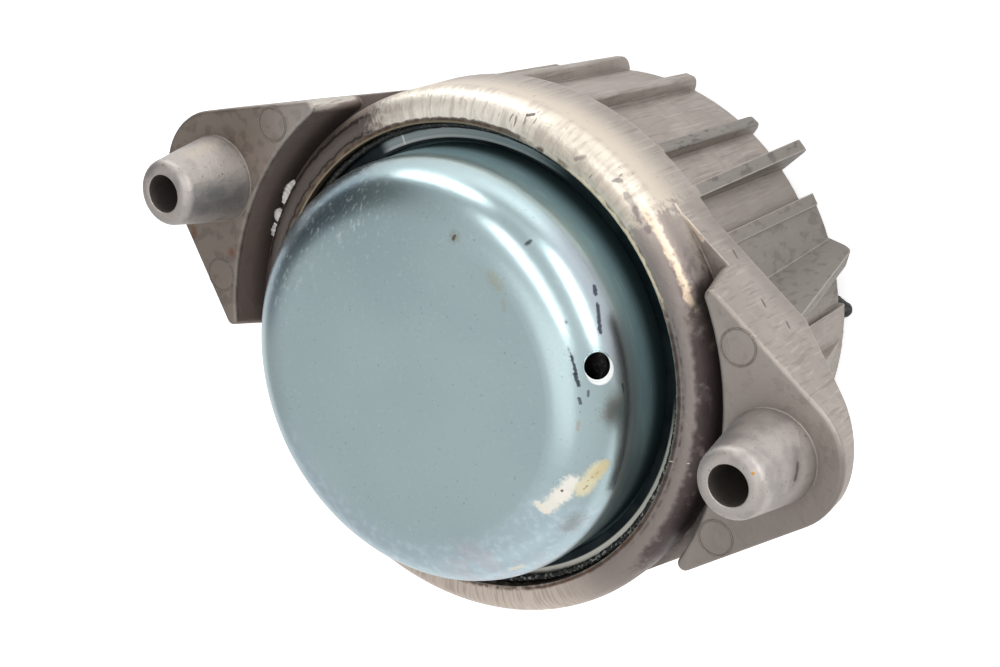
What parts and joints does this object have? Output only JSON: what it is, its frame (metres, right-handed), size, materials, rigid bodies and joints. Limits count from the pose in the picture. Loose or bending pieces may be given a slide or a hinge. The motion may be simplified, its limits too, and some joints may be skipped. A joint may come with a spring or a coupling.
{
  "type": "hydraulic engine mount",
  "caption": "Bell-shaped ribbed casting with two lugs and hollow tapered bosses, closed by a domed pressed cap, with a rubber spring, fluid channel and diaphragm inside.",
  "frame": {"origin": "mouth of the core's threaded hole, in the middle of the core's end face, which the mount stands on", "axes": "+Z along the mount's axis from the engine side to the cap, +X through the two lugs, +Y towards the side that the lugs lean to"},
  "size_m": [0.1498, 0.1, 0.0836],
  "materials": {
    "housing": "die-cast aluminium, grey with a mauve cast, rough as cast, ground bright on the ring",
    "cap": "pressed steel sheet with blue-bright zinc plating, satin, scuffed and stained",
    "clamp_ring": "flat steel ring, dark grey zinc, bright at its inner edge",
    "seal_ring": "black rubber, torn and serrated where it is squeezed out",
    "diaphragm": "black rubber, smooth",
    "channel": "die-cast aluminium, clean inside",
    "decoupler_disc": "black rubber",
    "main_spring": "black natural rubber, matt",
    "spring_ring": "steel, phosphated grey",
    "core": "aluminium, machined end face",
    "stop_plate": "pressed steel plate, grey",
    "stop_rubber": "black rubber",
    "end_buffer": "black rubber with small nubs"
  },
  "bodies": {
    "root": {"housing": "housing", "cap": "cap", "clamp_ring": "clamp_ring", "seal_ring": "seal_ring", "diaphragm": "diaphragm", "channel_cover": "channel", "channel_plate": "channel", "decoupler_disc": "decoupler_disc", "main_spring": "main_spring", "spring_ring": "spring_ring", "core": "core", "stop_plate": "stop_plate", "stop_rubber": "stop_rubber", "end_buffer": "end_buffer"}
  },
  "joints": []
}
